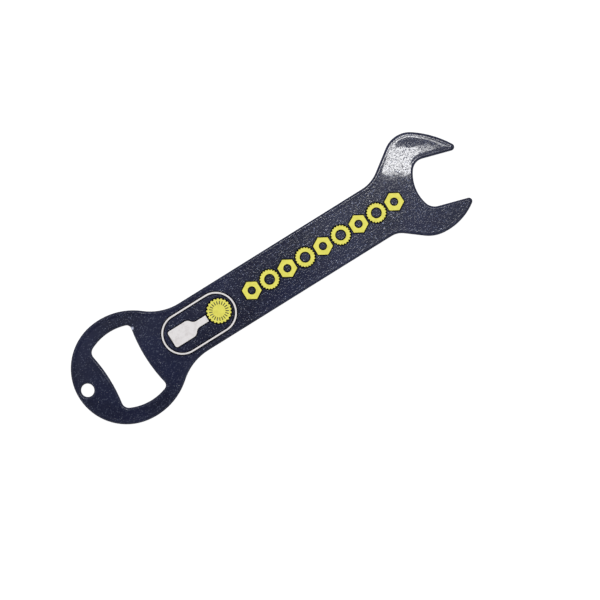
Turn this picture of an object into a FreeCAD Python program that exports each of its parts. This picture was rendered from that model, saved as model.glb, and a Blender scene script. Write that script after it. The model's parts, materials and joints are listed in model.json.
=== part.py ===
import FreeCAD, Part
import os
import Sketcher
from math import acos, atan2, cos, pi, radians, sin, sqrt
from FreeCAD import Placement, Rotation, Vector

# A flat steel bottle opener shaped like an open-ended spanner. A stamped blank with rounded
# edges carries a thick coat all over, and ink prints lie on the front of the coat.
# The outline is drawn with the head's centre at 0, 0 and the jaw out along +X.
# The finished part lies on Z = 0 with its print up, centred on the middle of its length.

# Driving sizes, in millimetres and degrees. Those of the blank are of the bare steel.
SIZES = {
    "blank_thickness": 2.0,
    "edge_round": 0.5,
    "coat": 0.3,
    # head, shoulders and handle
    "head_radius": 22.0,
    "shoulder_radius": 25.9,
    "head_neck_radius": 22.2,
    "head_neck_x": 31.6,
    "handle_width": 21.6,
    # the jaw's slot: across its flats, its lean from the handle, and its rounded throat
    "jaw_across": 20.6,
    "jaw_lean": 16.6,
    "jaw_pivot_x": 139.1,
    "throat_radius": 16.3,
    "throat_along": 13.1,
    "throat_aside": 1.0,
    "throat_corner_radius": 5.5,
    "tip_radius": 1.1,
    # back of the upper prong
    "upper_neck_radius": 14.4,
    "upper_neck_x": 117.7,
    "upper_slope": 35.8,
    "upper_crest_radius": 10.2,
    "upper_crest_x": 140.6,
    "upper_back_radius": 39.7,
    "upper_back_x": 123.3,
    # back of the lower prong
    "lower_neck_radius": 8.0,
    "lower_neck_x": 118.0,
    "lower_slope": 38.6,
    "lower_crest_radius": 13.5,
    "lower_crest_x": 137.9,
    "lower_back_radius": 23.0,
    "lower_back_x": 138.9,
    # window for the crown cap, with bowed lips and rounded ends
    "head_lip_back": 8.3,
    "handle_lip_ahead": 9.1,
    "lip_bow_radius": 62.0,
    "window_half_height": 16.3,
    "window_end_radius": 21.5,
    "window_end_x": 1.8,
    "head_corner_radius": 3.3,
    "handle_corner_radius": 2.3,
    # hole for a ring or a hook
    "hang_hole_radius": 3.0,
    "hang_hole_back": 17.8,
    "hang_hole_up": 0.85,
    # prints: emblem
    "ink": 0.06,
    "oval_x": 34.25,
    "oval_length": 32.5,
    "oval_width": 16.7,
    "oval_line": 0.65,
    "bottle_base_x": 21.4,
    "bottle_length": 16.6,
    "bottle_body_length": 8.2,
    "bottle_shoulder_length": 4.2,
    "bottle_width": 7.2,
    "bottle_neck_width": 2.7,
    "bottle_corner_radius": 0.9,
    "badge_cap_x": 43.6,
    "badge_cap_radius": 5.0,
    "badge_flute_radius": 0.42,
    "tick_from": 2.6,
    "tick_to": 4.0,
    "tick_width": 0.36,
    # prints: the row of marks along the handle
    "row_start_x": 55.6,
    "row_end_x": 129.4,
    "mark_height": 7.9,
    "mark_line": 1.75,
    "mark_flute_radius": 0.34,
}
CAP_FLUTES = 21        # a crown cap's standard count
ROW_MARKS = 9          # nuts and caps take turns, a nut first and last
HEX_SIDES = 6
FULL_TURN = 360
HALF_SIDE = FULL_TURN / HEX_SIDES / 2    # the angle from a nut's corner to the middle of a side

doc = FreeCAD.newDocument("bottle_opener")
sheet = doc.addObject("Spreadsheet::Sheet", "Sizes")
for row, (alias, value) in enumerate(SIZES.items(), start=1):
    sheet.set(f"A{row}", alias)
    sheet.set(f"B{row}", str(value))
    sheet.setAlias(f"B{row}", alias)
doc.recompute()


def size(alias):
    return float(sheet.get(alias))


class Layer:
    """The sizes of the bare blank, or of the outside of its coat."""

    # how far each size moves for one coat thickness outwards; the others stay
    GROWTH = {
        "blank_thickness": 2, "edge_round": 1, "head_radius": 1, "shoulder_radius": 1,
        "head_neck_radius": -1, "handle_width": 2, "jaw_across": -2, "throat_radius": -1,
        "throat_corner_radius": -1, "tip_radius": 1,
        "upper_neck_radius": -1, "upper_crest_radius": 1, "upper_back_radius": 1,
        "lower_neck_radius": -1, "lower_crest_radius": 1, "lower_back_radius": 1,
        "head_lip_back": -1, "handle_lip_ahead": -1, "lip_bow_radius": 1,
        "window_half_height": -1, "window_end_radius": -1,
        "head_corner_radius": -1, "handle_corner_radius": -1, "hang_hole_radius": -1,
    }

    def __init__(self, label, coats):
        self.label = label
        self.coats = coats

    def value(self, alias):
        return size(alias) + self.coats * self.GROWTH.get(alias, 0) * size("coat")

    def formula(self, alias):
        growth = self.coats * self.GROWTH.get(alias, 0)
        return f"(Sizes.{alias} + {growth} * Sizes.coat)" if growth else f"Sizes.{alias}"


def mirrored(point):
    return Vector(point.x, -point.y, 0)


def towards(start, target, reach):
    """The point that lies reach away from start, on the way to target."""
    way = target - start
    return start + way * (reach / way.Length)


def originFeature(body, role):
    return [f for f in body.Origin.OriginFeatures if f.Role == role][0]


class Outline:
    """Closed runs of lines and arcs in a sketch on the XY plane of its own body."""

    def __init__(self, body, name):
        self.sketch = body.newObject("Sketcher::SketchObject", name)
        self.sketch.AttachmentSupport = [(originFeature(body, "XY_Plane"), "")]
        self.sketch.MapMode = "FlatFace"
        self.run = []

    def line(self, start, end, backwards=False):
        """A line from start to end, which the run follows forwards or backwards."""
        geo = self.sketch.addGeometry(Part.LineSegment(start, end))
        self.run.append((geo, 2, 1) if backwards else (geo, 1, 2))
        return geo

    def arc(self, centre, start, end, left=True):
        """An arc about centre that the run follows from start to end, turning left or right."""
        circle = Part.Circle(centre, Vector(0, 0, 1), (start - centre).Length)
        first, last = (start, end) if left else (end, start)
        low = atan2(first.y - centre.y, first.x - centre.x)
        high = atan2(last.y - centre.y, last.x - centre.x)
        if high <= low:
            high += 2 * pi
        geo = self.sketch.addGeometry(Part.ArcOfCircle(circle, low, high))
        self.run.append((geo, 1, 2) if left else (geo, 2, 1))
        return geo

    def circle(self, centre, radius):
        return self.sketch.addGeometry(Part.Circle(centre, Vector(0, 0, 1), radius))

    def close(self, corners=()):
        """Join the run end to start: smoothly, or with a corner after the pieces in corners."""
        for (geo, _, end), (following, start, _) in zip(self.run, self.run[1:] + self.run[:1]):
            kind = "Coincident" if geo in corners else "Tangent"
            self.fix(kind, geo, end, following, start)
        self.run = []

    def fix(self, kind, *where):
        self.sketch.addConstraint(Sketcher.Constraint(kind, *where))

    def bind(self, name, expression, kind, *where):
        """A named dimension that follows an expression of the sheet."""
        value = float(self.sketch.evalExpression(expression))
        if kind == "Angle":
            value = radians(value)
        index = self.sketch.addConstraint(Sketcher.Constraint(kind, *where, value))
        self.sketch.renameConstraint(index, name)
        self.sketch.setExpression(f"Constraints.{name}", expression)


ORIGIN = (-1, 1)       # how the sketcher names its origin point
X_AXIS, Y_AXIS = -1, -2
CENTRE = 3             # and the centre of an arc or circle


# ---- geometry of the blank's outline ----
JAW_AHEAD = Vector(cos(radians(size("jaw_lean"))), -sin(radians(size("jaw_lean"))), 0)
JAW_ACROSS = Vector(-JAW_AHEAD.y, JAW_AHEAD.x, 0)


def jawPoint(ahead, across):
    """A point given along and across the jaw's slot, from where it crosses the handle's axis."""
    return Vector(size("jaw_pivot_x"), 0, 0) + JAW_AHEAD * ahead + JAW_ACROSS * across


def shoulderRun(layer):
    """Upper side of the head: shoulder and neck arcs, from the head circle to the handle's edge."""
    half_width = layer.value("handle_width") / 2
    neck = Vector(layer.value("head_neck_x"), half_width + layer.value("head_neck_radius"), 0)
    # the shoulder touches the head circle from outside and the neck circle from within
    inner = layer.value("shoulder_radius") - layer.value("head_radius")
    outer = layer.value("shoulder_radius") + layer.value("head_neck_radius")
    reach = neck.Length
    turn = acos((inner**2 + reach**2 - outer**2) / (2 * inner * reach))
    heading = atan2(neck.y, neck.x) - turn
    shoulder = Vector(cos(heading), sin(heading), 0) * inner
    on_head = towards(Vector(), -shoulder, layer.value("head_radius"))
    between = towards(shoulder, neck, layer.value("shoulder_radius"))
    on_edge = Vector(neck.x, half_width, 0)
    return [("shoulder", shoulder, on_head, between), ("head_neck", neck, between, on_edge)]


def prongRun(layer, side, name):
    """One prong, from the handle's edge round its back and tip to the throat."""
    half_width = layer.value("handle_width") / 2
    neck_r, crest_r = layer.value(f"{name}_neck_radius"), layer.value(f"{name}_crest_radius")
    back_r, tip_r = layer.value(f"{name}_back_radius"), layer.value("tip_radius")
    corner_r, throat_r = layer.value("throat_corner_radius"), layer.value("throat_radius")
    slope = radians(layer.value(f"{name}_slope"))
    up_slope = Vector(cos(slope), side * sin(slope), 0)
    outward = Vector(-sin(slope), side * cos(slope), 0)

    edge_end = Vector(layer.value(f"{name}_neck_x"), side * half_width, 0)
    neck = edge_end + Vector(0, side * neck_r, 0)
    slope_start = neck - outward * neck_r
    under = slope_start - outward * crest_r
    climb = (layer.value(f"{name}_crest_x") - under.x) / up_slope.x
    crest, slope_end = under + up_slope * climb, slope_start + up_slope * climb

    lean = (layer.value(f"{name}_crest_x") - layer.value(f"{name}_back_x")) / (back_r - crest_r)
    leave = Vector(lean, side * sqrt(1 - lean**2), 0)
    back, crest_end = crest - leave * (back_r - crest_r), crest + leave * crest_r

    flat = layer.value("jaw_across") / 2
    from_pivot = back - jawPoint(0, 0)
    reach = side * (flat + tip_r) - from_pivot.dot(JAW_ACROSS)
    tip = jawPoint(from_pivot.dot(JAW_AHEAD) + sqrt((back_r - tip_r)**2 - reach**2),
                   side * (flat + tip_r))
    tip_start, tip_end = towards(back, tip, back_r), tip - JAW_ACROSS * side * tip_r

    throat = jawPoint(size("throat_along"), size("throat_aside"))
    aside = flat - corner_r
    set_back = sqrt((throat_r - corner_r)**2 - (aside - side * size("throat_aside"))**2)
    corner = jawPoint(size("throat_along") - set_back, side * aside)
    corner_start = corner + JAW_ACROSS * side * corner_r
    corner_end = towards(throat, corner, throat_r)
    return [("neck", neck, edge_end, slope_start), ("slope", None, slope_start, slope_end),
            ("crest", crest, slope_end, crest_end), ("back", back, crest_end, tip_start),
            ("tip", tip, tip_start, tip_end), ("flat", None, tip_end, corner_start),
            ("throat_corner", corner, corner_start, corner_end)]


def drawBlank(layer, outline):
    """The closed outline, anticlockwise from the head. Returns its pieces by name."""
    hollow = ("head_neck", "neck", "throat_corner")
    head_run = shoulderRun(layer)
    upper, lower = prongRun(layer, 1, "upper"), prongRun(layer, -1, "lower")
    upper = head_run + [("edge", None, head_run[-1][3], upper[0][2])] + upper
    head_run = [(name, mirrored(c), mirrored(a), mirrored(b)) for name, c, a, b in head_run]
    lower = head_run + [("edge", None, head_run[-1][3], lower[0][2])] + lower

    geo = {"head": outline.arc(Vector(), upper[0][2], lower[0][2])}
    for name, centre, start, end in lower:
        if centre is None:
            geo["lower_" + name] = outline.line(start, end)
        else:
            geo["lower_" + name] = outline.arc(centre, start, end, name not in hollow)
    throat = jawPoint(size("throat_along"), size("throat_aside"))
    geo["throat"] = outline.arc(throat, lower[-1][3], upper[-1][3], False)
    for name, centre, start, end in reversed(upper):
        if centre is None:
            geo["upper_" + name] = outline.line(start, end, backwards=True)
        else:
            geo["upper_" + name] = outline.arc(centre, end, start, name not in hollow)
    outline.close()
    return geo


def sizeBlank(layer, outline, geo):
    """Bind the outline's dimensions to the sheet until nothing is free."""
    outline.fix("Coincident", geo["head"], CENTRE, *ORIGIN)
    outline.bind("head_r", layer.formula("head_radius"), "Radius", geo["head"])
    for side, sign in (("upper", 1), ("lower", -1)):
        radii = {"shoulder": "shoulder_radius", "head_neck": "head_neck_radius",
                 "neck": f"{side}_neck_radius", "crest": f"{side}_crest_radius",
                 "back": f"{side}_back_radius", "tip": "tip_radius",
                 "throat_corner": "throat_corner_radius"}
        places = {"head_neck": "head_neck_x", "neck": f"{side}_neck_x",
                  "crest": f"{side}_crest_x", "back": f"{side}_back_x"}
        for name, alias in radii.items():
            piece = f"{side}_{name}"
            outline.bind(piece + "_r", layer.formula(alias), "Radius", geo[piece])
        for name, alias in places.items():
            piece = f"{side}_{name}"
            outline.bind(piece + "_x", layer.formula(alias), "DistanceX", *ORIGIN, geo[piece], CENTRE)
        edge = geo[side + "_edge"]
        outline.fix("Horizontal", edge)
        ends = (*ORIGIN, edge, 1) if sign > 0 else (edge, 1, *ORIGIN)
        outline.bind(side + "_half_width", layer.formula("handle_width") + " / 2", "DistanceY", *ends)
        outline.bind(side + "_angle", f"{sign} * Sizes.{side}_slope", "Angle", geo[side + "_slope"])

    # two drawing lines carry the slot: along it, then aside to the throat's centre
    pivot, foot = jawPoint(0, 0), jawPoint(size("throat_along"), 0)
    throat = jawPoint(size("throat_along"), size("throat_aside"))
    ahead = outline.sketch.addGeometry(Part.LineSegment(pivot, foot), True)
    aside = outline.sketch.addGeometry(Part.LineSegment(foot, throat), True)
    outline.fix("PointOnObject", ahead, 1, X_AXIS)
    outline.fix("Coincident", ahead, 2, aside, 1)
    outline.fix("Perpendicular", ahead, aside)
    outline.fix("Coincident", aside, 2, geo["throat"], CENTRE)
    outline.bind("jaw_pivot", "Sizes.jaw_pivot_x", "DistanceX", *ORIGIN, ahead, 1)
    outline.bind("jaw_lean", "-Sizes.jaw_lean", "Angle", ahead)
    outline.bind("throat_along", "Sizes.throat_along", "Distance", ahead)
    outline.bind("throat_aside", "Sizes.throat_aside", "Distance", aside)
    outline.bind("throat_r", layer.formula("throat_radius"), "Radius", geo["throat"])
    for side in ("upper", "lower"):
        outline.fix("Parallel", ahead, geo[side + "_flat"])
        outline.bind(side + "_flat_off", layer.formula("jaw_across") + " / 2", "Distance",
                     ahead, 1, geo[side + "_flat"])


def crossing(centre_a, reach_a, centre_b, reach_b):
    """The upper point at reach_a from centre_a and reach_b from centre_b."""
    gap = centre_b - centre_a
    run = (reach_a**2 - reach_b**2 + gap.Length**2) / (2 * gap.Length)
    ahead = gap / gap.Length
    up = Vector(-ahead.y, ahead.x, 0) * sqrt(reach_a**2 - run**2)
    point = centre_a + ahead * run + up
    return point if point.y > 0 else point - up * 2


def drawWindow(layer, outline):
    """The cap window: two lips that bow into it, two rounded ends, and four corners."""
    bow, end_r = layer.value("lip_bow_radius"), layer.value("window_end_radius")
    end = Vector(layer.value("window_end_x"), layer.value("window_half_height") - end_r, 0)
    lips = {"head": Vector(-layer.value("head_lip_back") - bow, 0, 0),
            "handle": Vector(layer.value("handle_lip_ahead") + bow, 0, 0)}
    corner, on_lip, on_end = {}, {}, {}
    for name, lip in lips.items():
        r = layer.value(f"{name}_corner_radius")
        corner[name] = crossing(lip, bow + r, end, end_r - r)
        on_lip[name] = towards(lip, corner[name], bow)
        on_end[name] = towards(end, corner[name], end_r)

    geo = {"handle_lip": outline.arc(lips["handle"], mirrored(on_lip["handle"]),
                                     on_lip["handle"], False)}
    geo["upper_handle"] = outline.arc(corner["handle"], on_lip["handle"], on_end["handle"])
    geo["upper_end"] = outline.arc(end, on_end["handle"], on_end["head"])
    geo["upper_head"] = outline.arc(corner["head"], on_end["head"], on_lip["head"])
    geo["head_lip"] = outline.arc(lips["head"], on_lip["head"], mirrored(on_lip["head"]), False)
    geo["lower_head"] = outline.arc(mirrored(corner["head"]), mirrored(on_lip["head"]),
                                    mirrored(on_end["head"]))
    geo["lower_end"] = outline.arc(mirrored(end), mirrored(on_end["head"]),
                                   mirrored(on_end["handle"]))
    geo["lower_handle"] = outline.arc(mirrored(corner["handle"]), mirrored(on_end["handle"]),
                                      mirrored(on_lip["handle"]))
    outline.close()

    def lip_x(alias):
        return layer.formula(alias) + " + " + layer.formula("lip_bow_radius")

    for lip in ("head_lip", "handle_lip"):
        outline.fix("PointOnObject", geo[lip], CENTRE, X_AXIS)
        outline.bind(lip + "_r", layer.formula("lip_bow_radius"), "Radius", geo[lip])
    outline.bind("head_lip_x", lip_x("head_lip_back"), "DistanceX",
                 geo["head_lip"], CENTRE, *ORIGIN)
    outline.bind("handle_lip_x", lip_x("handle_lip_ahead"), "DistanceX",
                 *ORIGIN, geo["handle_lip"], CENTRE)
    drop = layer.formula("window_end_radius") + " - " + layer.formula("window_half_height")
    outline.bind("upper_end_y", drop, "DistanceY", geo["upper_end"], CENTRE, *ORIGIN)
    outline.bind("lower_end_y", drop, "DistanceY", *ORIGIN, geo["lower_end"], CENTRE)
    for side in ("upper", "lower"):
        end = geo[side + "_end"]
        outline.bind(side + "_end_r", layer.formula("window_end_radius"), "Radius", end)
        outline.bind(side + "_end_x", "Sizes.window_end_x", "DistanceX", *ORIGIN, end, CENTRE)
        for lip in ("head", "handle"):
            outline.bind(f"{side}_{lip}_r", layer.formula(f"{lip}_corner_radius"), "Radius",
                         geo[f"{side}_{lip}"])


# ---- features ----
def newBody(label):
    body = doc.addObject("PartDesign::Body", label)
    body.Label = label
    return body


def pad(body, outline, name, length):
    feature = body.newObject("PartDesign::Pad", name)
    feature.Profile = outline.sketch
    feature.setExpression("Length", length)
    return feature


def pocket(body, outline, name):
    """A cut through everything above the sketch."""
    feature = body.newObject("PartDesign::Pocket", name)
    feature.Profile = outline.sketch
    feature.Type = "ThroughAll"
    feature.Reversed = True
    doc.recompute()
    if feature.Shape.Volume >= feature.BaseFeature.Shape.Volume:
        raise RuntimeError(f"{name} cuts nothing")
    return feature


def makePlate(layer):
    """A plate with the cap window, the hanging hole and all its rims rounded alike."""
    body = newBody(layer.label)
    outline = Outline(body, layer.label + "_outline")
    sizeBlank(layer, outline, drawBlank(layer, outline))
    pad(body, outline, layer.label + "_plate", layer.formula("blank_thickness"))

    window = Outline(body, layer.label + "_window_outline")
    drawWindow(layer, window)
    pocket(body, window, layer.label + "_window")

    hole = Outline(body, layer.label + "_hang_hole_outline")
    circle = hole.circle(Vector(-size("hang_hole_back"), size("hang_hole_up"), 0),
                         layer.value("hang_hole_radius"))
    hole.bind("hole_r", layer.formula("hang_hole_radius"), "Radius", circle)
    hole.bind("hole_x", "Sizes.hang_hole_back", "DistanceX", circle, CENTRE, *ORIGIN)
    hole.bind("hole_y", "Sizes.hang_hole_up", "DistanceY", *ORIGIN, circle, CENTRE)
    drilled = pocket(body, hole, layer.label + "_hang_hole")

    rims = [f"Edge{n}" for n, edge in enumerate(drilled.Shape.Edges, start=1)
            if edge.BoundBox.ZLength < size("edge_round")]
    rounding = body.newObject("PartDesign::Fillet", layer.label + "_rounded_rims")
    rounding.Base = (drilled, rims)
    rounding.setExpression("Radius", layer.formula("edge_round"))
    return body


def stadiumRun(outline, length, width, name):
    """A straight-sided oval about the body's origin, bound to two formulas."""
    half, r = (float(sheet.evalExpression(f)) / 2 for f in (length, width))
    reach = half - r
    right = outline.arc(Vector(reach, 0, 0), Vector(reach, -r, 0), Vector(reach, r, 0))
    top = outline.line(Vector(reach, r, 0), Vector(-reach, r, 0))
    left = outline.arc(Vector(-reach, 0, 0), Vector(-reach, r, 0), Vector(-reach, -r, 0))
    bottom = outline.line(Vector(-reach, -r, 0), Vector(reach, -r, 0))
    outline.close()
    for line in (top, bottom):
        outline.fix("Horizontal", line)
    outline.fix("PointOnObject", right, CENTRE, X_AXIS)
    outline.bind(name + "_r", width + " / 2", "Radius", right)
    outline.bind(name + "_right", f"({length} - {width}) / 2", "DistanceX", *ORIGIN, right, CENTRE)
    outline.bind(name + "_left", f"({length} - {width}) / 2", "DistanceX", left, CENTRE, *ORIGIN)


def makeOvalRing():
    body = newBody("oval_ring_print")
    outline = Outline(body, "oval_ring_outline")
    stadiumRun(outline, "Sizes.oval_length", "Sizes.oval_width", "outer")
    stadiumRun(outline, "(Sizes.oval_length - 2 * Sizes.oval_line)",
               "(Sizes.oval_width - 2 * Sizes.oval_line)", "inner")
    pad(body, outline, "oval_ring", "Sizes.ink")
    return body


def makeBottle():
    """A long-necked bottle lying along the handle, its mouth towards the cap."""
    body = newBody("bottle_print")
    outline = Outline(body, "bottle_outline")
    half, neck_half = size("bottle_width") / 2, size("bottle_neck_width") / 2
    corner_r, long = size("bottle_corner_radius"), size("bottle_length")
    start, run = size("bottle_body_length"), size("bottle_shoulder_length")
    drop = (half - neck_half) / 2
    bend = (drop**2 + (run / 2)**2) / (2 * drop)      # radius of each half of the shoulder's S
    middle = Vector(start + run / 2, half - drop, 0)
    geo = {}

    def side(sign, name):
        """Pieces of one side from the base to the mouth, followed back to front on the upper side."""
        def at(x, y):
            return Vector(x, sign * y, 0)

        pieces = [
            ("corner", at(corner_r, half - corner_r), at(0, half - corner_r), at(corner_r, half)),
            ("body", None, at(corner_r, half), at(start, half)),
            ("outer_bend", at(start, half - bend), at(start, half), at(middle.x, middle.y)),
            ("inner_bend", at(start + run, neck_half + bend), at(middle.x, middle.y),
             at(start + run, neck_half)),
            ("neck", None, at(start + run, neck_half), at(long, neck_half))]
        for piece, centre, a, b in pieces if sign < 0 else reversed(pieces):
            if centre is None:
                geo[name + piece] = outline.line(a, b, backwards=sign > 0)
            else:
                ends = (a, b) if sign < 0 else (b, a)
                geo[name + piece] = outline.arc(centre, *ends, piece != "inner_bend")

    side(-1, "lower_")
    geo["mouth"] = outline.line(Vector(long, -neck_half, 0), Vector(long, neck_half, 0))
    side(1, "upper_")
    geo["base"] = outline.line(Vector(0, half - corner_r, 0), Vector(0, corner_r - half, 0))
    outline.close(corners=(geo["lower_neck"], geo["mouth"]))

    outline.fix("Vertical", geo["base"])
    outline.fix("Vertical", geo["mouth"])
    outline.fix("PointOnObject", geo["base"], 1, Y_AXIS)
    outline.bind("long", "Sizes.bottle_length", "DistanceX", *ORIGIN, geo["mouth"], 1)
    for sign, name in ((1, "upper_"), (-1, "lower_")):
        outline.fix("Horizontal", geo[name + "body"])
        outline.fix("Horizontal", geo[name + "neck"])
        outline.fix("Equal", geo[name + "outer_bend"], geo[name + "inner_bend"])
        outline.bind(name + "corner_r", "Sizes.bottle_corner_radius", "Radius", geo[name + "corner"])
        for piece, width in (("body", "bottle_width"), ("neck", "bottle_neck_width")):
            ends = (*ORIGIN, geo[name + piece], 1) if sign > 0 else (geo[name + piece], 1, *ORIGIN)
            outline.bind(name + piece + "_y", f"Sizes.{width} / 2", "DistanceY", *ends)
        outline.bind(name + "start", "Sizes.bottle_body_length", "DistanceX",
                     *ORIGIN, geo[name + "outer_bend"], CENTRE)
        outline.bind(name + "end", "Sizes.bottle_body_length + Sizes.bottle_shoulder_length",
                     "DistanceX", *ORIGIN, geo[name + "inner_bend"], CENTRE)
    pad(body, outline, "bottle", "Sizes.ink")
    return body


def repeat(body, feature, name, count):
    """The same feature in equal steps round the body's Z axis."""
    pattern = body.newObject("PartDesign::PolarPattern", name)
    pattern.Originals = [feature]
    pattern.Axis = (originFeature(body, "Z_Axis"), [""])
    pattern.Angle = FULL_TURN
    pattern.Occurrences = count
    body.Tip = pattern
    return pattern


def makeCap(label, radius, flute_radius):
    """A crown cap seen from above: a disc with flutes cut into its rim."""
    body = newBody(label)
    disc = Outline(body, label + "_disc_outline")
    circle = disc.circle(Vector(), float(sheet.evalExpression(radius)))
    disc.fix("Coincident", circle, CENTRE, *ORIGIN)
    disc.bind("disc_r", radius, "Radius", circle)
    pad(body, disc, label + "_disc", "Sizes.ink")

    flute = Outline(body, label + "_flute_outline")
    circle = flute.circle(Vector(0, float(sheet.evalExpression(radius)), 0), size(flute_radius))
    flute.fix("PointOnObject", circle, CENTRE, Y_AXIS)
    flute.bind("flute_y", radius, "DistanceY", *ORIGIN, circle, CENTRE)
    flute.bind("flute_r", f"Sizes.{flute_radius}", "Radius", circle)
    cut = pocket(body, flute, label + "_flute")
    repeat(body, cut, label + "_flutes", CAP_FLUTES)
    return body


def makeBadgeCap():
    """The emblem's cap: a fluted disc with a ring of fine ticks left open in the ink."""
    body = makeCap("badge_cap_print", "Sizes.badge_cap_radius", "badge_flute_radius")
    tick = Outline(body, "tick_outline")
    half, low, high = size("tick_width") / 2, size("tick_from"), size("tick_to")
    corners = [Vector(-half, low, 0), Vector(half, low, 0), Vector(half, high, 0),
               Vector(-half, high, 0)]
    lines = [tick.line(a, b) for a, b in zip(corners, corners[1:] + corners[:1])]
    tick.close(corners=lines)
    for line, way in zip(lines, ("Horizontal", "Vertical", "Horizontal", "Vertical")):
        tick.fix(way, line)
    tick.bind("right", "Sizes.tick_width / 2", "DistanceX", *ORIGIN, lines[1], 1)
    tick.bind("left", "Sizes.tick_width / 2", "DistanceX", lines[3], 1, *ORIGIN)
    tick.bind("low", "Sizes.tick_from", "DistanceY", *ORIGIN, lines[0], 1)
    tick.bind("high", "Sizes.tick_to", "DistanceY", *ORIGIN, lines[2], 1)
    repeat(body, pocket(body, tick, "tick"), "ticks", CAP_FLUTES)
    return body


def makeCapMark(number):
    """A cap of the row: a fluted ring as wide as the row's line."""
    label = f"cap_mark_{number}"
    body = makeCap(label, "Sizes.mark_height / 2", "mark_flute_radius")
    inside = Outline(body, label + "_inside_outline")
    circle = inside.circle(Vector(), size("mark_height") / 2 - size("mark_line"))
    inside.fix("Coincident", circle, CENTRE, *ORIGIN)
    inside.bind("inside_r", "Sizes.mark_height / 2 - Sizes.mark_line", "Radius", circle)
    pocket(body, inside, label + "_inside")
    return body


def makeNutMark(number):
    """A nut of the row: a hexagon with a corner up, and a round hole."""
    label = f"nut_mark_{number}"
    hexagon = doc.addObject("Part::Prism", label + "_hexagon")
    hexagon.Polygon = HEX_SIDES
    hexagon.setExpression("Circumradius", "Sizes.mark_height / 2")
    hexagon.setExpression("Height", "Sizes.ink")
    hexagon.Placement = Placement(Vector(), Rotation(Vector(0, 0, 1), HALF_SIDE))
    hole = doc.addObject("Part::Cylinder", label + "_hole")
    hole.setExpression("Radius", f"Sizes.mark_height / 2 * cos({HALF_SIDE} deg) - Sizes.mark_line")
    hole.setExpression("Height", "Sizes.ink")
    nut = doc.addObject("Part::Cut", label)
    nut.Base, nut.Tool = hexagon, hole
    return nut


def group(label, members):
    compound = doc.addObject("Part::Compound", label)
    compound.Label = label
    compound.Links = members
    return compound


# ---- the pieces and their places ----
blank = makePlate(Layer("steel_blank", 0))
coated = makePlate(Layer("coated_plate", 1))
doc.recompute()
extent = doc.getObject("coated_plate_plate").Shape.BoundBox
middle_x = (extent.XMin + extent.XMax) / 2
front = size("blank_thickness") + 2 * size("coat")


def place(piece, x, y, z):
    piece.Placement.Base = Vector(x - middle_x, y, z)


place(coated, 0, 0, 0)
place(blank, 0, 0, size("coat"))
coat = doc.addObject("Part::Cut", "powder_coat")
coat.Label = "powder_coat"
coat.Base, coat.Tool = coated, blank

ring, bottle, badge_cap = makeOvalRing(), makeBottle(), makeBadgeCap()
place(ring, size("oval_x"), 0, front)
place(bottle, size("bottle_base_x"), 0, front)
place(badge_cap, size("badge_cap_x"), 0, front)

nut_width = size("mark_height") * cos(radians(HALF_SIDE))
widths = [size("mark_height") if n % 2 else nut_width for n in range(ROW_MARKS)]
gap = (size("row_end_x") - size("row_start_x") - sum(widths)) / (ROW_MARKS - 1)
marks = []
left = size("row_start_x")
for number, width in enumerate(widths):
    mark = makeCapMark(number) if number % 2 else makeNutMark(number)
    place(mark, left + width / 2, 0, front)
    marks.append(mark)
    left += width + gap
nuts, caps = group("nut_row_print", marks[0::2]), group("cap_row_print", marks[1::2])
doc.recompute()

# ---- checks and files ----
pieces = [blank, coat, ring, bottle, badge_cap, nuts, caps]
for thing in doc.Objects:
    if "Invalid" in thing.State or "Error" in thing.State:
        raise RuntimeError(f"{thing.Label} failed: {thing.getStatusString()}")
    if thing.TypeId == "Sketcher::SketchObject" and not thing.FullyConstrained:
        raise RuntimeError(f"{thing.Label} has free dimensions")
for piece in pieces:
    if piece.Shape.isNull() or not piece.Shape.isValid():
        raise RuntimeError(f"{piece.Label} has no valid shape")

os.makedirs("parts", exist_ok=True)
for piece in pieces:
    piece.Shape.exportStep(f"parts/{piece.Label}.step")
    box = piece.Shape.BoundBox
    print(f"{piece.Label}: {len(piece.Shape.Solids)} solid(s), {piece.Shape.Volume:.2f} mm3, "
          f"{box.XLength:.2f} x {box.YLength:.2f} x {box.ZLength:.2f} mm")
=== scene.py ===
import bpy
import bmesh
import json
import numpy as np
from math import cos, pi, radians, sin, sqrt
from mathutils import Matrix, Vector
from mathutils.geometry import delaunay_2d_cdt
from mathutils.kdtree import KDTree


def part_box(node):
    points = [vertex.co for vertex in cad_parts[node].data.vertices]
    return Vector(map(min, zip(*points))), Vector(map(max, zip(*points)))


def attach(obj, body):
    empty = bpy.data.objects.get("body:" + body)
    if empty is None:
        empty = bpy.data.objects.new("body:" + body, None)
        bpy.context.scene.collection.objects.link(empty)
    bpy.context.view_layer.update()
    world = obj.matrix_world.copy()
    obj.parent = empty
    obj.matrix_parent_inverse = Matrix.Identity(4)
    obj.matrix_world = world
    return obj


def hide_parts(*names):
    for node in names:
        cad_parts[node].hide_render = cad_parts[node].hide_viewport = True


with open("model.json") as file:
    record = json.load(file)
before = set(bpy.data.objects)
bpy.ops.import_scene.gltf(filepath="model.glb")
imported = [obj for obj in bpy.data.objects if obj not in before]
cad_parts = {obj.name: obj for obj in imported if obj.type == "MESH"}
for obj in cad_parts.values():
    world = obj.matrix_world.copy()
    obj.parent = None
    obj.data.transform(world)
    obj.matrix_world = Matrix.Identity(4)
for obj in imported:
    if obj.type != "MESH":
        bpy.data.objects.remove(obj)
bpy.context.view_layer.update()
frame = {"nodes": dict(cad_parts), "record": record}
mm = 0.001
nodes = frame["nodes"]
mounts = {mount["name"]: mount for mount in frame["record"]["mounts"]}
print("frame loaded:", ", ".join(sorted(nodes)))

plateLow, plateHigh = (Vector(corner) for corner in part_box("powder_coat"))
plateMiddle = (plateLow + plateHigh) / 2
frontZ = plateHigh.z
jawCentre = Vector(mounts["jaw"]["pos_m"])
windowCentre = Vector(mounts["cap_window"]["pos_m"])


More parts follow.
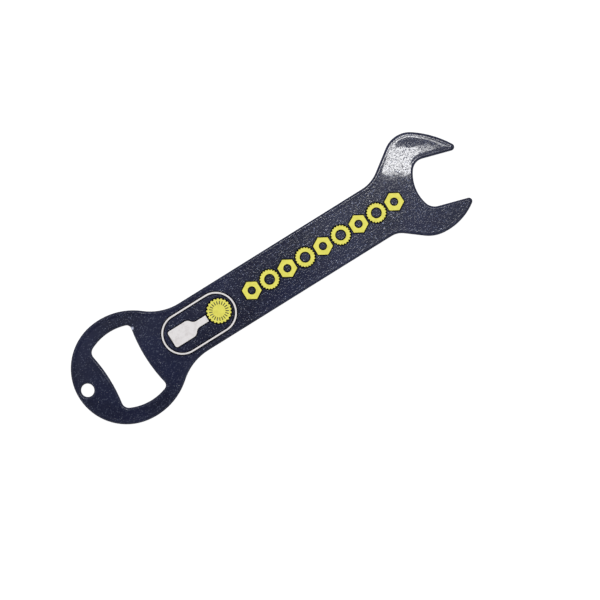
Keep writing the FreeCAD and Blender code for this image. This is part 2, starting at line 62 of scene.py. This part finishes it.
# small helpers
def newPiece(name, mesh, material):
    piece = bpy.data.objects.new(name, mesh)
    bpy.context.scene.collection.objects.link(piece)
    piece.data.materials.append(material)
    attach(piece, "root")
    return piece


def dress(nodeName, material):
    nodes[nodeName].data.materials.clear()
    nodes[nodeName].data.materials.append(material)


def newMaterial(name, values):
    material = bpy.data.materials.new(name)
    material.use_nodes = True
    shader = material.node_tree.nodes["Principled BSDF"]
    for key, value in values.items():
        shader.inputs[key].default_value = value
    return material, material.node_tree, shader


def addNode(tree, kind, inputs=None, **settings):
    node = tree.nodes.new(kind)
    for key, value in settings.items():
        setattr(node, key, value)
    for key, value in (inputs or {}).items():
        if isinstance(value, bpy.types.NodeSocket):
            tree.links.new(value, node.inputs[key])
        else:
            node.inputs[key].default_value = value
    return node


def objectPlace(tree):
    return addNode(tree, "ShaderNodeTexCoord").outputs["Object"]


def noise(tree, place, scale, **more):
    inputs = {"Vector": place, "Scale": scale, **more}
    return addNode(tree, "ShaderNodeTexNoise", inputs).outputs["Fac"]


def cellPattern(tree, place, scale):
    cells = addNode(tree, "ShaderNodeTexVoronoi", {"Vector": place, "Scale": scale}).outputs
    draw = addNode(tree, "ShaderNodeSeparateColor", {"Color": cells["Color"]}).outputs
    return cells["Distance"], cells["Color"], draw


def ranged(tree, value, fromTo, low=0.0, high=1.0, curve="LINEAR"):
    inputs = {"Value": value, "From Min": fromTo[0], "From Max": fromTo[1], "To Min": low,
              "To Max": high}
    return addNode(tree, "ShaderNodeMapRange", inputs, interpolation_type=curve).outputs["Result"]


def mixed(tree, factor, first, second):
    inputs = {"Factor": factor, "A": first, "B": second}
    return addNode(tree, "ShaderNodeMix", inputs, data_type="RGBA").outputs[2]


def bumped(tree, height, depth, **more):
    inputs = {"Height": height, "Distance": depth, **more}
    return addNode(tree, "ShaderNodeBump", inputs).outputs["Normal"]


def combined(tree, operation, first, second):
    return addNode(tree, "ShaderNodeMath", {0: first, 1: second}, operation=operation).outputs[0]


def vectorMath(tree, operation, first, second=(0, 0, 0), output="Vector", **more):
    inputs = {0: first, 1: second, **more}
    return addNode(tree, "ShaderNodeVectorMath", inputs, operation=operation).outputs[output]


def randomLean(tree, colour, reach):
    centred = vectorMath(tree, "SUBTRACT", colour, (0.5, 0.5, 0.5))  # a cell's colour runs from 0 to 1
    return vectorMath(tree, "SCALE", centred, Scale=reach)


# outlines read off the frame
section = {
    "weld": 0.0001 * mm,
    "straightOver": 3.0 * mm,      # longer edges of a section are straight, shorter ones lie on arcs
    "arcSplits": 8,
    "sameLength": 0.5 * mm,        # two loops closer in length than this are the same wall
}


def sectionLoops(nodeName, height):
    cut = bmesh.new()
    cut.from_mesh(nodes[nodeName].data)
    bmesh.ops.remove_doubles(cut, verts=cut.verts, dist=section["weld"])
    everything = cut.verts[:] + cut.edges[:] + cut.faces[:]
    bmesh.ops.bisect_plane(cut, geom=everything, plane_co=(0, 0, height), plane_no=(0, 0, 1),
                           clear_inner=True, clear_outer=True)
    loops, used = [], set()
    for first in cut.verts:
        loop, corner = [], first
        while corner is not None and corner not in used:
            used.add(corner)
            loop.append((corner.co.x, corner.co.y))
            ways = [edge.other_vert(corner) for edge in corner.link_edges]
            corner = next((way for way in ways if way not in used), None)
        if len(loop) > 2:
            loops.append(np.array(loop))
    cut.free()
    return loops


def loopLength(loop):
    return np.hypot(*(np.roll(loop, -1, axis=0) - loop).T).sum()


def loopArea(loop):
    ahead = np.roll(loop, -1, axis=0)
    return (loop[:, 0] * ahead[:, 1] - ahead[:, 0] * loop[:, 1]).sum() / 2


def evenLoop(loop, step):
    run = np.roll(loop, -1, axis=0) - loop
    length = np.hypot(*run.T)
    along = run / length[:, None]
    behind, lengthBehind = np.roll(along, 1, axis=0), np.roll(length, 1)
    # through three points of an arc, the shorter side leans the tangent more
    tangent = along * lengthBehind[:, None] + behind * length[:, None]
    straight = length > section["straightOver"]
    tangent[straight] = along[straight]
    afterStraight = np.roll(straight, 1)
    tangent[afterStraight] = behind[afterStraight]
    tangent /= np.hypot(*tangent.T)[:, None]

    share = np.linspace(0, 1, section["arcSplits"], endpoint=False)[:, None]
    fine = []                      # a cubic through both ends of every edge
    for start, end, size, leave, arrive in zip(loop, np.roll(loop, -1, axis=0), length,
                                               tangent, np.roll(tangent, -1, axis=0)):
        bend = share * (1 - share) * size
        fine.append(start * (1 + 2 * share) * (1 - share) ** 2 + end * share ** 2 * (3 - 2 * share)
                    + leave * bend * (1 - share) - arrive * bend * share)
    fine = np.vstack(fine + [loop[:1]])
    reach = np.concatenate([[0], np.cumsum(np.hypot(*np.diff(fine, axis=0).T))])
    places = np.linspace(0, reach[-1], round(reach[-1] / step), endpoint=False)
    return np.column_stack([np.interp(places, reach, fine[:, axis]) for axis in (0, 1)])


def coatLoops(step):
    steel = [loopLength(loop) for loop in sectionLoops("steel_blank", plateMiddle.z)]
    loops = [loop for loop in sectionLoops("powder_coat", plateMiddle.z)
             if min(abs(loopLength(loop) - size) for size in steel) > section["sameLength"]]
    loops.sort(key=lambda loop: -abs(loopArea(loop)))
    loops = [evenLoop(loop, step) for loop in loops]
    # the rim runs anticlockwise and the openings clockwise, so that the coat is on the left
    return [loop if (loopArea(loop) > 0) == (number == 0) else loop[::-1]
            for number, loop in enumerate(loops)]


def insideLoops(points, loops):
    inside = np.zeros(len(points), bool)
    for loop in loops:
        for (x0, y0), (x1, y1) in zip(loop, np.roll(loop, -1, axis=0)):
            if y0 != y1:
                level = (points[:, 1] > y0) != (points[:, 1] > y1)
                inside ^= level & (points[:, 0] < x0 + (points[:, 1] - y0) * (x1 - x0) / (y1 - y0))
    return inside


class Rim:

    def __init__(self, loops):
        self.points = np.vstack(loops)
        self.before, self.after, self.inward = [], [], []
        for loop in loops:
            before, after = np.roll(loop, 1, axis=0), np.roll(loop, -1, axis=0)
            way = after - before
            way /= np.hypot(*way.T)[:, None]
            self.before.append(before)
            self.after.append(after)
            self.inward.append(np.column_stack([-way[:, 1], way[:, 0]]))
        self.before, self.after, self.inward = map(np.vstack, (self.before, self.after, self.inward))
        self.tree = KDTree(len(self.points))
        for number, point in enumerate(self.points):
            self.tree.insert((*point, 0), number)
        self.tree.balance()

    def distance(self, points):
        near = np.array([self.tree.find((*point, 0))[1] for point in points])
        gaps = []
        for other in (self.before[near], self.after[near]):
            edge = other - self.points[near]
            share = ((points - self.points[near]) * edge).sum(1) / (edge ** 2).sum(1)
            foot = self.points[near] + edge * np.clip(share, 0, 1)[:, None]
            gaps.append(np.hypot(*(points - foot).T))
        return np.minimum(*gaps)


# the coat: a fine skin of the section, with navy under pearl flakes and a clear top
coat = {
    "rimRadius": 0.8 * mm,
    "rimSteps": 8,
    "beadHeight": 0.022 * mm,      # a thick coat dries with a fat edge just inside its rims
    "beadPlace": 0.95 * mm,
    "beadWidth": 0.65 * mm,
    "beadRings": 13,
    "beadEnd": 3.0 * mm,
    "alongStep": 0.4 * mm,
    "insideStep": 1.8 * mm,
    "crowded": 0.07 * mm,          # points closer together than this are left out
    "ringSlack": 0.1,              # of that gap, by which a ring may fall short
    "netGrain": 1e-7,              # in millimetres
    "wallSteps": 3,

    "navy": (0.0120, 0.0148, 0.0395, 1),
    "navyDeep": (0.0092, 0.0102, 0.0235, 1),
    "cloudsPerMetre": 45,
    "cloudDetail": 3.0,
    "cloudRange": (0.35, 0.65),
    "flakeColour": (0.130, 0.145, 0.205, 1),
    "flakesPerMetre": 1650,
    "flakeReach": (0.46, 0.20),    # of a cell, from a flake's rim to its full tone
    "flakeShare": 0.50,
    "flakeMetal": 0.92,
    "flakeTilt": 0.06,
    "nibColour": (0.25, 0.27, 0.36, 1),
    "nibsPerMetre": 420,
    "nibShare": 0.05,
    "nibReach": 0.11,              # of a cell
    # a chip at the window's corner, painted pale as a glint
    "chipGlintPlace": Vector((windowCentre.x + 9.9 * mm, windowCentre.y + 12.6 * mm, frontZ)),
    "chipGlintReach": (0.85 * mm, 0.40 * mm),
    "chipGlintColour": (0.66, 0.68, 0.80, 1),
    "chipGlintRagged": 0.5 * mm,
    "peelPerMetre": 1150,
    "peelDetail": 1.0,
    "peelRange": (0.52, 0.60),
    "peelDepth": 0.0090 * mm,
    "swellPerMetre": 110,
    "swellDetail": 3.0,
    "swellDepth": 0.018 * mm,
    "shader": {"Roughness": 0.25, "Specular IOR Level": 0.10, "Coat Weight": 1.0,
               "Coat Roughness": 0.03, "Coat IOR": 1.5},
}


def coatHeight(distance):
    radius, half = coat["rimRadius"], plateHigh.z - plateMiddle.z
    drop = np.clip(radius - distance, 0, radius)
    bead = coat["beadHeight"] * np.exp(-((distance - coat["beadPlace"]) / coat["beadWidth"]) ** 2)
    return half - radius + np.sqrt(radius ** 2 - drop ** 2) + bead


def coatPoints(loops, rim):
    turns = np.linspace(0, pi / 2, coat["rimSteps"] + 1)[1:]
    rings = np.concatenate([coat["rimRadius"] * (1 - np.cos(turns)),
                            np.linspace(coat["rimRadius"], coat["beadEnd"], coat["beadRings"])[1:]])
    points, distances = list(rim.points), [0.0] * len(rim.points)
    cells, size = {}, coat["crowded"]

    def keep(point, distance):
        column, row = int(point[0] // size), int(point[1] // size)
        for i in (column - 1, column, column + 1):
            for j in (row - 1, row, row + 1):
                if any(np.hypot(*(other - point)) < size for other in cells.get((i, j), ())):
                    return
        cells.setdefault((column, row), []).append(point)
        points.append(point)
        distances.append(distance)

    for ring in rings:
        offset = rim.points + rim.inward * ring
        for point in offset[rim.distance(offset) > ring - coat["ringSlack"] * size]:
            keep(point, ring)

    step = coat["insideStep"]
    rows = np.arange(plateLow.y, plateHigh.y, step * sqrt(3) / 2)
    grid = np.array([(x + step / 2 * (number % 2), y) for number, y in enumerate(rows)
                     for x in np.arange(plateLow.x, plateHigh.x, step)])
    grid = grid[insideLoops(grid, loops)]
    inner = rim.distance(grid)
    for point, distance in zip(grid, inner):
        if distance > coat["beadEnd"] + step / 2:
            keep(point, distance)
    return np.array(points), np.array(distances)


def coatMesh():
    loops = coatLoops(coat["alongStep"])
    rim = Rim(loops)
    points, distances = coatPoints(loops, rim)
    edges, start = [], 0
    for loop in loops:
        edges += [(start + n, start + (n + 1) % len(loop)) for n in range(len(loop))]
        start += len(loop)
    hull = 0                       # the net is filled out to its hull
    net = delaunay_2d_cdt([Vector(point / mm) for point in points], edges, [], hull, coat["netGrain"])
    flat = np.array([tuple(corner) for corner in net[0]]) * mm
    source = [origin[0] for origin in net[3]]
    height = coatHeight(distances[source])

    # faces outside the rim or in an opening have all their corners on it
    faces = np.array(net[2])
    onWall = (np.array(source) < len(rim.points))[faces].all(axis=1)
    middles = flat[faces].mean(axis=1)
    faces = faces[~onWall | insideLoops(middles, loops)]
    a, b, c = (flat[faces[:, n]] for n in range(3))
    clockwise = (b[:, 0] - a[:, 0]) * (c[:, 1] - a[:, 1]) < (b[:, 1] - a[:, 1]) * (c[:, 0] - a[:, 0])
    faces[clockwise] = faces[clockwise][:, ::-1]

    count = len(flat)
    front = np.column_stack([flat, plateMiddle.z + height])
    back = np.column_stack([flat, plateMiddle.z - height])
    corners, quads = [front, back], []
    wallIndex = {origin: number for number, origin in reversed(list(enumerate(source)))}
    shares = np.linspace(1, -1, coat["wallSteps"] + 1)
    wallHalf = plateHigh.z - plateMiddle.z - coat["rimRadius"]
    start, total = 0, 2 * count
    for loop in loops:
        ring = [wallIndex[start + n] for n in range(len(loop))]
        levels = [ring]
        for share in shares[1:-1]:
            level = np.full(len(ring), plateMiddle.z + share * wallHalf)
            corners.append(np.column_stack([flat[ring], level]))
            levels.append(list(range(total, total + len(ring))))
            total += len(ring)
        levels.append([number + count for number in ring])
        for upper, lower in zip(levels, levels[1:]):
            quads += [(upper[n - 1], lower[n - 1], lower[n], upper[n]) for n in range(len(ring))]
        start += len(loop)

    mesh = bpy.data.meshes.new("glossyCoat")
    triangles = faces.tolist() + (faces[:, ::-1] + count).tolist()
    mesh.from_pydata(np.vstack(corners).tolist(), [], triangles + quads)
    mesh.validate()
    mesh.polygons.foreach_set("use_smooth", [True] * len(mesh.polygons))
    mesh.update()
    return mesh


def makeNavyCoat():
    material, tree, shader = newMaterial("navyFlakeCoat", coat["shader"])
    place = objectPlace(tree)

    # broad clouds of a bluer and a blacker navy
    clouds = noise(tree, place, coat["cloudsPerMetre"], Detail=coat["cloudDetail"])
    paint = mixed(tree, ranged(tree, clouds, coat["cloudRange"]), coat["navyDeep"], coat["navy"])

    # fine pearl flakes, and here and there a nib of dust under the skin
    flakeDistance, flakeCell, flakeDraw = cellPattern(tree, place, coat["flakesPerMetre"])
    shown = ranged(tree, flakeDraw["Red"], (1 - coat["flakeShare"], 1))
    dot = ranged(tree, flakeDistance, coat["flakeReach"])
    bright = combined(tree, "MULTIPLY", shown, dot)
    flaked = mixed(tree, bright, paint, coat["flakeColour"])
    nibDistance, nibCell, nibDraw = cellPattern(tree, place, coat["nibsPerMetre"])
    few = ranged(tree, nibDraw["Green"], (1 - coat["nibShare"], 1))
    near = ranged(tree, nibDistance, (coat["nibReach"], 0))
    nib = combined(tree, "MULTIPLY", few, near)
    specked = mixed(tree, nib, flaked, coat["nibColour"])

    # one small chip at a corner of the window, its pale colour a painted glint off the chip
    ragged = vectorMath(tree, "ADD", place, randomLean(tree, nibCell, coat["chipGlintRagged"]))
    away = vectorMath(tree, "DISTANCE", ragged, coat["chipGlintPlace"], output="Value")
    chipGlint = ranged(tree, away, coat["chipGlintReach"])
    withChipGlint = mixed(tree, chipGlint, specked, coat["chipGlintColour"])
    tree.links.new(withChipGlint, shader.inputs["Base Color"])
    metal = ranged(tree, bright, (0, 1), high=coat["flakeMetal"])
    tree.links.new(metal, shader.inputs["Metallic"])

    # the clear skin is pitted finely over a slow swell
    swell = noise(tree, place, coat["swellPerMetre"], Detail=coat["swellDetail"])
    slow = bumped(tree, swell, coat["swellDepth"])
    peel = noise(tree, place, coat["peelPerMetre"], Detail=coat["peelDetail"])
    pits = ranged(tree, peel, coat["peelRange"], curve="SMOOTHSTEP")
    skin = bumped(tree, pits, coat["peelDepth"], Normal=slow)
    tree.links.new(skin, shader.inputs["Coat Normal"])

    # each flake lies a little askew
    askew = vectorMath(tree, "ADD", randomLean(tree, flakeCell, coat["flakeTilt"]), slow)
    tree.links.new(vectorMath(tree, "NORMALIZE", askew), shader.inputs["Normal"])
    return material


glossyCoat = newPiece("glossyCoat", coatMesh(), makeNavyCoat())
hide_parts("powder_coat")
print("coat:", len(glossyCoat.data.polygons), "faces")


# the inks of the prints, which keep their own solids
inks = {
    "white": {"colour": (0.815, 0.775, 0.720, 1), "thin": (0.715, 0.67, 0.62, 1),
              "nodes": ("oval_ring_print", "bottle_print")},
    "yellow": {"colour": (0.83, 0.765, 0.118, 1), "thin": (0.73, 0.67, 0.092, 1),
               "nodes": ("badge_cap_print", "nut_row_print", "cap_row_print")},
    "mottlePerMetre": 500,
    "mottleDetail": 4.0,
    "mottleRoughness": 0.7,
    "coverRange": (0.36, 0.54),    # of the mottle, from thin ink to full ink
    "grainPerMetre": 2600,
    "grainStrength": 0.5,
    "grainDepth": 0.004 * mm,
    "shader": {"Roughness": 0.38, "Specular IOR Level": 0.35},
}


def makeInk(name):
    material, tree, shader = newMaterial(name + "Ink", inks["shader"])
    place = objectPlace(tree)
    mottle = noise(tree, place, inks["mottlePerMetre"], Detail=inks["mottleDetail"],
                   Roughness=inks["mottleRoughness"])
    cover = ranged(tree, mottle, inks["coverRange"])
    colour = mixed(tree, cover, inks[name]["thin"], inks[name]["colour"])
    tree.links.new(colour, shader.inputs["Base Color"])
    grain = noise(tree, place, inks["grainPerMetre"])
    normal = bumped(tree, grain, inks["grainDepth"], Strength=inks["grainStrength"])
    tree.links.new(normal, shader.inputs["Normal"])
    return material


for inkName in ("white", "yellow"):
    ink = makeInk(inkName)
    for nodeName in inks[inkName]["nodes"]:
        dress(nodeName, ink)
print("prints inked")


# every print has a thin black edge of underprint
keyline = {
    "width": 0.46 * mm,
    "height": 0.012 * mm,
    "middle": 0.03 * mm,           # height in the prints at which their outlines are read
    "shortest": 5 * mm,            # shorter outlines get no edge
    "probe": 0.012 * mm,           # a step off a corner, to find the side that the ink is on
    "colour": (0.003, 0.003, 0.004, 1),
    "worn": (0.006, 0.006, 0.009, 1),
    "shader": {"Roughness": 0.5, "Specular IOR Level": 0.03},
}


def makeKeylines():
    verts, faces = [], []
    for nodeName in inks["white"]["nodes"] + inks["yellow"]["nodes"]:
        loops = [loop for loop in sectionLoops(nodeName, frontZ + keyline["middle"])
                 if loopLength(loop) > keyline["shortest"]]
        for loop in loops:
            ahead = np.roll(loop, -1, axis=0) - loop
            ahead /= np.hypot(*ahead.T)[:, None]
            side = np.column_stack((ahead[:, 1], -ahead[:, 0]))
            probe = loop[:1] + (ahead[:1] + side[:1]) * keyline["probe"]
            if insideLoops(probe, loops)[0]:
                side = -side       # the ink lies on the other side
            both = side + np.roll(side, 1, axis=0)
            mitre = 2 * both / np.maximum((both**2).sum(axis=1), 1)[:, None]
            start, count = len(verts), len(loop)
            for point in np.vstack((loop, loop + mitre * keyline["width"])):
                verts.append((*point, frontZ + keyline["height"]))
            for here in range(count):
                after = (here + 1) % count
                faces.append((start + here, start + after, start + count + after,
                              start + count + here))
    mesh = bpy.data.meshes.new("printKeylines")
    mesh.from_pydata(verts, [], faces)
    return mesh


def makeBlackInk():
    material, tree, shader = newMaterial("blackInk", keyline["shader"])
    grain = noise(tree, objectPlace(tree), inks["grainPerMetre"])
    tree.links.new(mixed(tree, grain, keyline["colour"], keyline["worn"]), shader.inputs["Base Color"])
    return material


printKeylines = newPiece("printKeylines", makeKeylines(), makeBlackInk())
print("keylines:", len(printKeylines.data.polygons), "faces")


# steel, hidden under the coat
bareSteel = {
    "colour": (0.50, 0.51, 0.52, 1),
    "shade": (0.36, 0.37, 0.38, 1),
    "grainPerMetre": 900,
    "grainDetail": 4.0,
    "grainStretch": (0.04, 1.0, 1.0),
    "shader": {"Metallic": 1.0, "Roughness": 0.34},
}


def makeBareSteel():
    material, tree, shader = newMaterial("stampedSteel", bareSteel["shader"])
    drawn = addNode(tree, "ShaderNodeMapping", {"Vector": objectPlace(tree),
                                                "Scale": bareSteel["grainStretch"]})
    grain = noise(tree, drawn.outputs["Vector"], bareSteel["grainPerMetre"],
                  Detail=bareSteel["grainDetail"])
    tone = mixed(tree, grain, bareSteel["shade"], bareSteel["colour"])
    tree.links.new(tone, shader.inputs["Base Color"])
    return material


dress("steel_blank", makeBareSteel())
print("steel dressed")


# camera, square above the plate
view = {
    "along": radians(31.94),       # how far the handle climbs to the right in the view
    "target": Vector((5.37 * mm, -13.42 * mm, plateMiddle.z)),
    "span": 240 * mm,              # width of the view at the plate
    "distance": 0.70,
    "sensor": 36.0,
    "clipStart": 0.01,
}
viewRight = Vector((cos(view["along"]), -sin(view["along"]), 0))


def makeCamera():
    data = bpy.data.cameras.new("camera")
    data.sensor_width = view["sensor"]
    data.lens = view["sensor"] * view["distance"] / view["span"]
    data.clip_start = view["clipStart"]
    camera = bpy.data.objects.new("camera", data)
    bpy.context.scene.collection.objects.link(camera)
    turn = Matrix.Rotation(-view["along"], 4, "Z")
    camera.matrix_world = Matrix.Translation(view["target"] + Vector((0, 0, view["distance"]))) @ turn
    bpy.context.scene.camera = camera
    return camera


camera = makeCamera()
print("camera placed")


# pale floor, just under the opener
ground = {
    "reach": 1.6,
    "drop": 0.05 * mm,
    "shader": {"Base Color": (0.12, 0.12, 0.12, 1), "Roughness": 0.8,
               "Emission Color": (1, 1, 1, 1), "Emission Strength": 0.97},
}


def makeFloor():
    material = newMaterial("paleFloor", ground["shader"])[0]
    reach = ground["reach"]
    mesh = bpy.data.meshes.new("floor")
    mesh.from_pydata([(-reach, -reach, 0), (reach, -reach, 0), (reach, reach, 0), (-reach, reach, 0)],
                     [], [(0, 1, 2, 3)])
    floor = bpy.data.objects.new("floor", mesh)
    floor.location.z = -ground["drop"]
    floor.visible_glossy = False
    bpy.context.scene.collection.objects.link(floor)
    mesh.materials.append(material)


makeFloor()
print("floor laid")


# light tent, dark straight above
tent = {
    "tint": (0.91, 0.955, 1.14, 1),
    "overhead": 0.05,              # the dark gap that the camera looks through
    "gap": (0.97, 0.88),           # cosines between which the gap opens into the walls
    "walls": 0.42,
    "horizon": (0.0, 0.5),
    "horizonShare": 0.35,
    "jawSide": (0.006, 0.035),     # sideways part of the direction where the jaw's side lightens
    "jawSideLevel": 0.38,
    "longEdgeSide": (0.0, 0.05),
    "longEdgeLevel": 0.27,
}


def makeTent():
    world = bpy.data.worlds.new("lightTent")
    bpy.context.scene.world = world
    world.use_nodes = True
    tree = world.node_tree
    direction = addNode(tree, "ShaderNodeTexCoord").outputs["Generated"]
    way = addNode(tree, "ShaderNodeSeparateXYZ", {"Vector": direction})

    def ramp(axis, fromTo, low, high):
        return ranged(tree, way.outputs[axis], fromTo, low, high, "SMOOTHSTEP")

    walls = ramp("Z", tent["gap"], 0, tent["walls"])
    jawSide = ramp("X", tent["jawSide"], 0, tent["jawSideLevel"])
    longEdge = ramp("Y", tent["longEdgeSide"], 0, tent["longEdgeLevel"])
    aboveOnly = ramp("Z", tent["gap"][::-1], 0, 1)
    lighter = combined(tree, "MULTIPLY", combined(tree, "ADD", jawSide, longEdge), aboveOnly)
    around = combined(tree, "ADD", combined(tree, "MAXIMUM", lighter, walls), tent["overhead"])
    horizon = ramp("Z", tent["horizon"], tent["horizonShare"], 1)
    back = tree.nodes["Background"]
    back.inputs["Color"].default_value = tent["tint"]
    tree.links.new(combined(tree, "MULTIPLY", around, horizon), back.inputs["Strength"])


makeTent()
print("tent hung")


# a soft key, and a strip light whose mirror image lies over the longer prong
lamps = {
    "keyPlace": Vector((0.12, 0.42, 0.62)),
    "keySize": (0.50, 0.40),
    "keyRadiance": 6.2,
    "stripHeight": 0.70,
    "stripFromJaw": Vector((-33.5 * mm, 32.2 * mm, 0)),
    "stripWidth": 10.6 * mm,       # widths and lengths as mirrored in the plate
    "stripParts": (                # how far along, length, radiance
        ("stripLight", -9.1 * mm, 107 * mm, 20.5),
        ("stripEnd", 54.4 * mm, 20 * mm, 11.0),
    ),
}


def addPanel(name, place, aim, across, size, radiance):
    data = bpy.data.lights.new(name, "AREA")
    data.shape = "RECTANGLE"
    data.size, data.size_y = size
    data.energy = radiance * pi * size[0] * size[1]
    lamp = bpy.data.objects.new(name, data)
    back = (place - aim).normalized()
    side = (across - back * across.dot(back)).normalized()
    turn = Matrix((side, back.cross(side), back)).transposed().to_4x4()
    lamp.matrix_world = Matrix.Translation(place) @ turn
    bpy.context.scene.collection.objects.link(lamp)
    return lamp


def makeLamps():
    middle = Vector((0, 0, frontZ))
    key = addPanel("softKey", lamps["keyPlace"], middle, Vector((1, 0, 0)), lamps["keySize"],
                   lamps["keyRadiance"])
    key.visible_glossy = False

    for name, along, length, radiance in lamps["stripParts"]:
        spot = jawCentre + lamps["stripFromJaw"] + viewRight * along
        spot.z = frontZ
        ray = camera.location - spot
        grown = 1 + lamps["stripHeight"] / ray.z         # a lamp is larger than its mirror image
        place = spot + Vector((-ray.x, -ray.y, ray.z)) * (lamps["stripHeight"] / ray.z)
        addPanel(name, place, place - Vector((0, 0, 1)), viewRight,
                 (length * grown, lamps["stripWidth"] * grown), radiance)


makeLamps()
bpy.context.scene.view_settings.view_transform = "Standard"
print("lamps lit")
